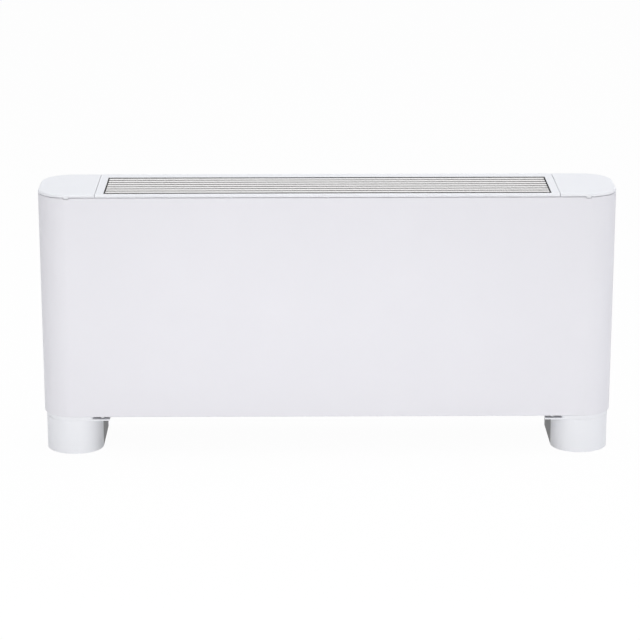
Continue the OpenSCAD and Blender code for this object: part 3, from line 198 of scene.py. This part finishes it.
# %% Steel finishes
def galvanised(place):
    crystal = place.node("ShaderNodeTexVoronoi", {"feature": "F1"}, out="Color", Vector=place,
                         Scale=85.0, Randomness=1.0)
    tone = crystal.node("ShaderNodeSeparateColor", Color=crystal)
    cloud = place.noise(12.0, 4.0)
    mixed = tone * 0.6 + cloud * 0.4
    return {
        "Base_Color": mixed.blend((0.50, 0.515, 0.53), (0.70, 0.715, 0.73)),
        "Roughness": 0.36 + tone * 0.22,
        "Normal": cloud.bump(0.15, 0.0003),
    }


def plated(place):
    grain = place.noise(420.0, 3.0)
    return {
        "Base_Color": grain.blend((0.58, 0.59, 0.61), (0.74, 0.745, 0.75)),
        "Roughness": 0.24 + grain * 0.16,
    }


leg_paint = grained(
    tones=((0.20, 0.20, 0.205), (0.26, 0.26, 0.265)), drift=(18.0, 3.0),
    grain=(900.0, 2.0), rough=(0.5, 0.15), relief=(0.35, 0.00008))
motor_paint = grained(
    tones=((0.20, 0.215, 0.235), (0.29, 0.305, 0.325)), drift=(40.0, 4.0),
    grain=(520.0, 3.0, 0.6), rough=(0.46, 0.2), relief=(0.4, 0.0002))
finishes |= {
    "galvanised": finish_of("galvanised_sheet", galvanised, Metallic=0.85),
    "fasteners": finish_of("plated_steel", plated, Metallic=1.0),
    "leg_grey": finish_of("leg_paint", leg_paint),
    "motor_grey": finish_of("motor_paint", motor_paint),
}
print("with steel:", len(finishes), "finishes")

# %% [markdown]
# ## Copper, brass and aluminium
#
# Copper tube darkens in soft clouds and keeps faint lines from drawing. Turned brass
# carries rings too fine to see one by one, and rolled aluminium carries lines. A noise
# that is stretched along those lines or rings gives each of them.

# %% Bright metal finishes
def copper(place):
    cloud = place.noise(26.0, 5.0, 0.6)
    drawn = place.stretched(0.04, 1.0, 1.0).noise(900.0, 2.0)
    return {
        "Base_Color": cloud.blend((0.42, 0.19, 0.10), (0.80, 0.44, 0.27)),
        "Roughness": 0.24 + cloud * 0.2 + drawn * 0.08,
        "Normal": drawn.bump(0.2, 0.00004),
    }


brass = grained(
    tones=((0.56, 0.38, 0.14), (0.80, 0.60, 0.28)), drift=(60.0, 4.0),
    grain=(1500.0, 2.0), rough=(0.22, 0.2), relief=(0.2, 0.00004),
    stretch=(1.0, 0.05, 0.05))
aluminium = grained(
    tones=((0.66, 0.675, 0.69), (0.80, 0.81, 0.82)), drift=(30.0, 4.0),
    grain=(800.0, 2.0), rough=(0.28, 0.2), relief=(0.2, 0.00004),
    stretch=(1.0, 0.06, 1.0))
finishes |= {
    "copper": finish_of("copper_tube", copper, Metallic=1.0),
    "brass": finish_of("turned_brass", brass, Metallic=1.0),
    "fin_aluminium": finish_of("fin_aluminium", aluminium, Metallic=1.0),
    "capacitor_can": finish_of("drawn_can", aluminium, Metallic=1.0),
}
print("with bright metals:", len(finishes), "finishes")

# %% [markdown]
# ## Dark mouldings, rubber, foam and net
#
# These sit inside, where light is weak, so what shows is their gloss. A spark-eroded
# mould leaves a pebbled grain on the fan housings; foam has open cells; the filter net
# is a plain weave, which two crossed sets of waves draw.

# %% Dark and soft finishes
def rubber(place):
    bloom = place.noise(90.0, 4.0)
    return {
        "Base_Color": bloom.blend((0.018, 0.018, 0.018), (0.05, 0.05, 0.05)),
        "Roughness": 0.62 + bloom * 0.2,
        "Normal": bloom.bump(0.2, 0.0002),
    }


def foam(place):
    cell = place.node("ShaderNodeTexVoronoi", {"feature": "F1"}, Vector=place, Scale=420.0)
    drift = place.noise(15.0, 3.0)
    return {
        "Base_Color": drift.blend((0.05, 0.05, 0.055), (0.085, 0.085, 0.09)),
        "Roughness": 0.8 + cell * 0.15,
        "Normal": cell.bump(0.6, 0.0008),
    }


def net(place):
    warp, weft = (place.node("ShaderNodeTexWave", {"bands_direction": axis}, Vector=place,
                             Scale=160.0) for axis in "XY")
    weave = warp * weft
    return {
        "Base_Color": weave.blend((0.035, 0.037, 0.04), (0.13, 0.135, 0.14)),
        "Roughness": 0.6 + weave * 0.2,
        "Normal": weave.bump(0.6, 0.0006),
    }


# The black moulding also lines the outlet's opening round the blades. There its dark colour is
# painted shade for the deep gap, while on the parts inside it is their own colour.
black_moulding_and_gap_shade = grained(
    tones=((0.022, 0.022, 0.024), (0.045, 0.045, 0.048)), drift=(20.0, 3.0),
    grain=(1100.0, 3.0, 0.6), rough=(0.42, 0.2), relief=(0.4, 0.0001))
pale_moulding = grained(
    tones=((0.62, 0.62, 0.60), (0.70, 0.70, 0.68)), drift=(20.0, 3.0),
    grain=(1300.0, 2.0, 0.6), rough=(0.42, 0.15), relief=(0.3, 0.00006))
finishes |= {
    "dark_plastic": finish_of("black_moulding_and_gap_shade", black_moulding_and_gap_shade),
    "box_plastic": finish_of("pale_moulding", pale_moulding),
    "rubber_black": finish_of("rubber", rubber),
    "foam": finish_of("foam", foam),
    "mesh": finish_of("filter_net", net),
}
print("in all:", len(finishes), "finishes")

# %% Finishes onto the solids
for name, solid in nodes.items():
    solid.data.materials.clear()
    solid.data.materials.append(finishes[slots[name]])
print("all", len(nodes), "solids have a finish")

# %% [markdown]
# ## From arrays to a piece
#
# The finer pieces are thin sheets. Each is worked out as whole arrays of points: a closed
# section carried along a path. One helper turns such arrays into a mesh, closes its seams
# and sets it on its body, and two more give the faces.

# %% Arrays into a mesh
MERGE = 1e-7    # points nearer than this are one


def piece_from(name, points, faces, body, finish, replaced=(), sharp=40.0):
    """Makes a piece from arrays, merges its seams, turns its faces outwards and sets it on a
    body. Edges that turn by more than sharp degrees stay sharp."""
    mesh = bpy.data.meshes.new(name)
    mesh.from_pydata(np.asarray(points).reshape(-1, 3).tolist(), [], [list(f) for f in faces])
    skin = bmesh.new()
    skin.from_mesh(mesh)
    bmesh.ops.remove_doubles(skin, verts=skin.verts, dist=MERGE)
    bmesh.ops.dissolve_degenerate(skin, edges=skin.edges, dist=MERGE)
    bmesh.ops.recalc_face_normals(skin, faces=skin.faces)
    skin.to_mesh(mesh)
    skin.free()
    mesh.shade_smooth()
    mesh.set_sharp_from_angle(angle=math.radians(sharp))
    piece = bpy.data.objects.new(name, mesh)
    bpy.context.collection.objects.link(piece)
    mesh.materials.append(finishes[finish])
    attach(piece, body)
    if replaced:
        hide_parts(*replaced)
    print(name, len(mesh.polygons), "faces")
    return piece


def tube_faces(stations, around):
    """Quads of a closed section of so many points that is carried along so many stations."""
    i, j = np.meshgrid(np.arange(stations - 1), np.arange(around), indexing="ij")
    k = (j + 1) % around
    corners = [i * around + j, (i + 1) * around + j, (i + 1) * around + k, i * around + k]
    return np.stack(corners, axis=-1).reshape(-1, 4)


def sheet_faces(around):
    """Quads of a thin section with two ends. Its points go out along one face and come back
    along the other, so quads between opposite points close the ends."""
    j = np.arange(around // 2 - 1)
    cap = np.stack([j, j + 1, around - 2 - j, around - 1 - j], axis=1)
    return np.concatenate([tube_faces(2, around), cap, cap + around])


print("arrays can be made into pieces")

# %% [markdown]
# ## The folded casing
#
# The real casing is one sheet, bent round at the corners and folded inwards along its top
# and bottom edges. The solid has knife edges there, but a press leaves a bend with a
# radius, and that bend is what catches the light. It could be bevelled afterwards;
# carrying the sheet's section along the plan is shorter, and the section may change on
# the way, because the top fold stops before the rear corners.

# %% The casing's plan
CORNER = 0.065                               # outer radius of the plan's corners
SHEET, BEND = 0.0012, 0.0022                 # thickness, and outer radius of a fold
BOTTOM_FOLD, TOP_FOLD = 0.014, 0.007         # how far the folds reach inwards
NOTCH_HALF, NOTCH_DEPTH = 0.00555, 0.0026    # the notches for the lift tabs
RELIEF_Y, RELIEF_Z = 0.08576, 0.56776        # behind this the wall is lower, to clear the lids
casing_low, casing_high = (np.array(v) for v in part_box("front_casing"))
corner_x, corner_y = casing_high[0] - CORNER, casing_high[1] - CORNER


def casing_stations(steps=22):
    """Stations round the plan, from the left rear corner to the right one.

    Each span is a centre, its first and last bearing, the top fold and the top. Where a span
    turns by nothing, the section changes in place and makes a step, as at the notches.
    """
    x, y, top = corner_x, corner_y, casing_high[2]
    relief = math.degrees(math.asin((RELIEF_Y - y) / CORNER))
    lean = math.degrees(math.asin(NOTCH_HALF / CORNER))
    near, cut = x - NOTCH_HALF, top - NOTCH_DEPTH
    spans = np.array([
        (-x, y, 90, 180 - relief, SHEET, RELIEF_Z),
        (-x, y, 180 - relief, 180, SHEET, top),
        (-x, y, 180, 180, TOP_FOLD, top),
        (-x, -y, 180, 270 - lean, TOP_FOLD, top),
        (-x, -y, 270 - lean, 270, SHEET, cut),
        (-near, -y, 270, 270, SHEET, cut),
        (-near, -y, 270, 270, TOP_FOLD, top),
        (near, -y, 270, 270, TOP_FOLD, top),
        (near, -y, 270, 270, SHEET, cut),
        (x, -y, 270, 270 + lean, SHEET, cut),
        (x, -y, 270 + lean, 360, TOP_FOLD, top),
        (x, y, 360, 360, TOP_FOLD, top),
        (x, y, 360, 360 + relief, SHEET, top),
        (x, y, 360 + relief, 450, SHEET, RELIEF_Z),
    ])
    bearing = np.radians(np.linspace(spans[:, 2], spans[:, 3], steps, axis=1))
    held = np.repeat(spans[:, None, :], steps, axis=1).reshape(-1, 6)
    return held[:, :1], held[:, 1:2], bearing.reshape(-1, 1), held[:, 4:5], held[:, 5:6]


print(len(casing_stations()[0]), "stations round the casing")


# %% The casing's sheet
def folded_casing(bend_steps=6):
    """Point = corner centre + (corner radius - inset) * bearing.

    Inset and height follow the sheet's closed section: along the bottom fold, a quarter bend,
    the wall, a quarter bend, the top fold, and back one sheet further in.
    """
    x, y, bearing, fold, top = casing_stations()
    t = np.linspace(0.0, math.pi / 2, bend_steps)[None, :]
    tight, bottom, one = BEND - SHEET, casing_low[2], np.ones_like(x)
    inset = np.concatenate([
        BOTTOM_FOLD * one, BEND * (1 - np.sin(t)) * one,
        np.minimum(BEND * (1 - np.cos(t)), fold), fold, fold,
        np.minimum(BEND - tight * np.sin(t), fold),
        (BEND - tight * np.cos(t)) * one, BOTTOM_FOLD * one,
    ], axis=1)
    height = np.concatenate([
        bottom * one, (bottom + BEND * (1 - np.cos(t))) * one,
        top - BEND * (1 - np.sin(t)), top, top - SHEET,
        top - BEND + tight * np.cos(t),
        (bottom + BEND - tight * np.sin(t)) * one, (bottom + SHEET) * one,
    ], axis=1)
    reach = CORNER - inset
    points = np.stack([x + reach * np.cos(bearing), y + reach * np.sin(bearing), height], axis=-1)
    stations, around = inset.shape
    ends = [np.arange(around), (stations - 1) * around + np.arange(around)]
    return points, [*tube_faces(stations, around).tolist(), *[e.tolist() for e in ends]]


piece_from("casing_sheet", *folded_casing(), "cabinet", "casing_paint", ["front_casing"])

# %% [markdown]
# ## Thin fins
#
# A coil's fins are foil, less than a fifth of a millimetre thick, stamped with ripples so
# that air tumbles between them. The solid is a block with grooves. Each fin here is a
# rippled sheet with two faces, a little thicker than foil so that it shows, and one array
# makes them all.

# %% The fins
COIL_TILT = math.radians(28.0)
coil_low, coil_high = (np.array(v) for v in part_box("coil_fins"))
coil_centre = (coil_low + coil_high) / 2
coil_half = coil_high[0] - coil_centre[0]


def rippled_fins(count=236, depth=0.066, tall=0.2, foil=0.0002, ripple=0.0005, waves=6,
                 steps=19, margin=0.001):
    """Fin i stands at an even step along X. Across the depth v it sways by
    ripple * cos(waves * pi * v), and its two faces lie half a foil either way. Depth and
    height are then turned by the coil's tilt."""
    v = np.linspace(-1.0, 1.0, steps)
    across = np.concatenate([v, v[::-1]])
    side = np.repeat([0.5, -0.5], steps) * foil + ripple * np.cos(waves * math.pi * across)
    along = np.linspace(-coil_half + margin, coil_half - margin, count)[:, None, None]
    y, z = across[None, None, :] * depth / 2, np.array([-0.5, 0.5])[None, :, None] * tall
    x, y, z = np.broadcast_arrays(along + side[None, None, :], y, z)
    points = np.stack([
        x,
        coil_centre[1] + y * math.cos(COIL_TILT) + z * math.sin(COIL_TILT),
        coil_centre[2] - y * math.sin(COIL_TILT) + z * math.cos(COIL_TILT),
    ], axis=-1)
    around = len(across)
    first = np.arange(count)[:, None, None] * 2 * around
    return points, (first + sheet_faces(around)[None]).reshape(-1, 4)


piece_from("rippled_fins", *rippled_fins(), "cabinet", "fin_aluminium", ["coil_fins"])

# %% [markdown]
# ## The filter net
#
# The filter is a net folded into small pleats and welded to ribs. The solid is a flat
# sheet. A triangle wave carried across the frame gives the pleats, and the ribs are half
# rounds under them. The net is woven.

# %% The net
PLEAT_PITCH, PLEAT_FOLD, NET_THREAD = 0.009, 0.0036, 0.0005
PLEAT_SHARP = 20.0
net_low, net_high = (np.array(v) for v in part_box("filter_mesh"))
net_width, net_length = net_high[:2] - net_low[:2]
half_pleats = int(round(net_width / PLEAT_PITCH)) * 2


def pleated_net():
    """Height = middle + fold * (a wave that climbs and falls once in each pitch), on two faces
    a thread apart."""
    x = np.linspace(net_low[0], net_high[0], half_pleats + 1)
    swing = np.where(np.arange(half_pleats + 1) % 2 == 0, -0.5, 0.5) * PLEAT_FOLD
    upper = swing + net_high[2] - PLEAT_FOLD / 2
    x, z = np.concatenate([x, x[::-1]]), np.concatenate([upper, (upper - NET_THREAD)[::-1]])
    y = np.array([net_low[1], net_high[1]])
    points = np.stack(np.broadcast_arrays(x[None, :], y[:, None], z[None, :]), axis=-1)
    return points, sheet_faces(len(x))


filter_net = piece_from("filter_net", *pleated_net(), "filter", "mesh", ["filter_mesh"],
                        sharp=PLEAT_SHARP)

# %% The ribs under the net
RIB_COUNT, RIB_HALF, RIB_DROP = 12, 0.0016, 0.0034
ribs_at = np.linspace(net_low[0], net_high[0], RIB_COUNT + 2)[1:-1]


def net_ribs(steps=9):
    """Each rib's section is a half circle under a flat top, carried from the frame's front
    rail to its rear rail."""
    t = np.linspace(math.pi, 2 * math.pi, steps)
    x = ribs_at[:, None, None] + RIB_HALF * np.cos(t)
    y = np.array([net_low[1], net_high[1]])[None, :, None]
    z = net_high[2] - RIB_DROP + RIB_HALF * np.sin(t)
    points = np.stack(np.broadcast_arrays(x, y, z[None, None, :]), axis=-1)
    one = tube_faces(2, steps).tolist() + [list(range(steps)), list(range(steps, 2 * steps))]
    return points, [[k + i * 2 * steps for k in face] for i in range(RIB_COUNT) for face in one]


piece_from("filter_ribs", *net_ribs(), "filter", "dark_plastic")

# %% [markdown]
# ## Camera
#
# The photograph was taken from about five metres away with a long lens, a little to the
# left of the middle and looking down by sixteen degrees. The values come from fitting the
# cabinet's edges to the picture.

# %% The camera
PHOTO_SIDE, FOCAL = 640.0, 2442.0             # pixels
SENSOR = 36.0                                 # millimetres
EYE = (-0.056, -5.145, 1.763)
LOOK_DOWN, ROLL, TURN = 16.14, 0.039, -0.462    # degrees

eye = bpy.data.cameras.new("photo_camera")
eye.sensor_width, eye.lens = SENSOR, SENSOR * FOCAL / PHOTO_SIDE
camera = bpy.data.objects.new("photo_camera", eye)
camera.location = EYE
camera.rotation_euler = [math.radians(a) for a in (90.0 - LOOK_DOWN, ROLL, TURN)]
bpy.context.collection.objects.link(camera)
bpy.context.scene.camera = camera
print("lens", round(eye.lens, 1), "mm")

# %% [markdown]
# ## Floor and world
#
# The picture is a cut-out on white. The floor is a broad pale sheet that curls up behind,
# so there is no horizon. What the eye meets there, also in a reflection, is nearly white
# by itself, and the small rest is lit paper, which keeps a soft shadow under the feet.

# %% The backdrop's sheet
FLOOR_DROP = 0.0005    # keeps the paper out of the plane of the feet


def backdrop_sheet(half_width, front, back, rise, bend, steps=24):
    """A floor carried straight back, then up through a quarter circle: height is 0 until the
    bend begins, then bend * (1 - cos t) while the depth goes on by bend * sin t."""
    turn = np.linspace(0.0, math.pi / 2, steps)
    depth = np.concatenate([[front], back + bend * np.sin(turn), [back + bend]])
    height = np.concatenate([[0.0], bend * (1.0 - np.cos(turn)), [rise]])
    across = np.array([-half_width, half_width])
    grid = np.stack(np.broadcast_arrays(across[None, :], depth[:, None], height[:, None]), axis=-1)
    first = np.arange(len(depth) - 1) * 2
    faces = np.stack([first, first + 1, first + 3, first + 2], axis=1)
    mesh = bpy.data.meshes.new("backdrop")
    mesh.from_pydata(grid.reshape(-1, 3).tolist(), [], faces.tolist())
    return bpy.data.objects.new("backdrop", mesh)


backdrop = backdrop_sheet(half_width=12.0, front=-12.0, back=8.0, rise=9.0, bend=2.0)
backdrop.location.z = -FLOOR_DROP
bpy.context.collection.objects.link(backdrop)
print("backdrop of", len(backdrop.data.polygons), "strips")

# %% White paper and an even room
WHITE = (1.0, 1.0, 1.0, 1.0)
WHITE_SHARE = 0.97     # of the paper, as the eye meets it
ROOM_LIGHT = 0.5       # strength of the world as a lamp


def met_by_eye(tree):
    """1 for rays from the camera, straight, mirrored or through glass, and 0 for the others."""
    ray = tree.nodes.new("ShaderNodeLightPath").outputs
    mirrored, through = Flow(ray["Is Glossy Ray"]), Flow(ray["Is Transmission Ray"])
    return Flow(ray["Is Camera Ray"]) + mirrored + through


paper = bpy.data.materials.new("white_paper")
paper.use_nodes = True
tree = paper.node_tree
share = met_by_eye(tree) * WHITE_SHARE
matt = share.node("ShaderNodeBsdfDiffuse", Color=(0.93, 0.93, 0.93, 1.0))
glow = share.node("ShaderNodeEmission", Color=WHITE, Strength=1.0)
shown = share.node("ShaderNodeMixShader", i0=share, i1=matt, i2=glow)
tree.links.new(shown.socket, tree.nodes["Material Output"].inputs["Surface"])
backdrop.data.materials.append(paper)

world = bpy.data.worlds.new("even_room")
bpy.context.scene.world = world
world.use_nodes = True
sky = world.node_tree
share = met_by_eye(sky)
room = share.node("ShaderNodeBackground", Color=(0.97, 0.975, 1.0, 1.0), Strength=ROOM_LIGHT)
white = share.node("ShaderNodeBackground", Color=WHITE, Strength=1.0)
shown = share.node("ShaderNodeMixShader", i0=share, i1=room, i2=white)
sky.links.new(shown.socket, sky.nodes["World Output"].inputs["Surface"])
print("paper and room are white to the eye")

# %% [markdown]
# ## Lamps
#
# Light is almost even: the room, and three large lamps that only shape the faces a
# little. In the photograph the front gets lighter towards the floor, so a low strip lamp
# stands before it. No lamp shows to the camera.

# %% The lamps
def lamp(name, place, aim, size, watts, tone):
    """A lamp of a width and a height at a place, turned so that it shines at aim."""
    light = bpy.data.lights.new(name, "AREA")
    light.shape, light.energy, light.color = "RECTANGLE", watts, tone
    light.size, light.size_y = size
    made = bpy.data.objects.new(name, light)
    made.location = place
    made.visible_camera = False
    away = np.array(place) - np.array(aim)
    flat = math.hypot(away[0], away[1])
    made.rotation_euler = (math.atan2(flat, away[2]), 0.0, math.atan2(away[0], -away[1]))
    bpy.context.collection.objects.link(made)


middle = (0.0, 0.0, 0.35)
lamp("front_key", place=(-1.6, -3.6, 2.6), aim=middle, size=(2.4, 2.4), watts=28.0,
     tone=(1.0, 0.985, 0.97))
lamp("right_fill", place=(3.7, -0.2, 1.4), aim=middle, size=(2.2, 2.2), watts=22.0,
     tone=(0.96, 0.97, 1.0))
lamp("overhead", place=(0.0, 0.3, 3.4), aim=middle, size=(2.6, 2.6), watts=44.0,
     tone=(0.97, 0.985, 1.0))
lamp("low_fill", place=(0.0, -1.3, 0.16), aim=(0.0, -0.1, 0.12), size=(2.2, 0.24), watts=4.3,
     tone=(1.0, 0.99, 0.98))
bpy.context.scene.view_settings.view_transform = "Standard"
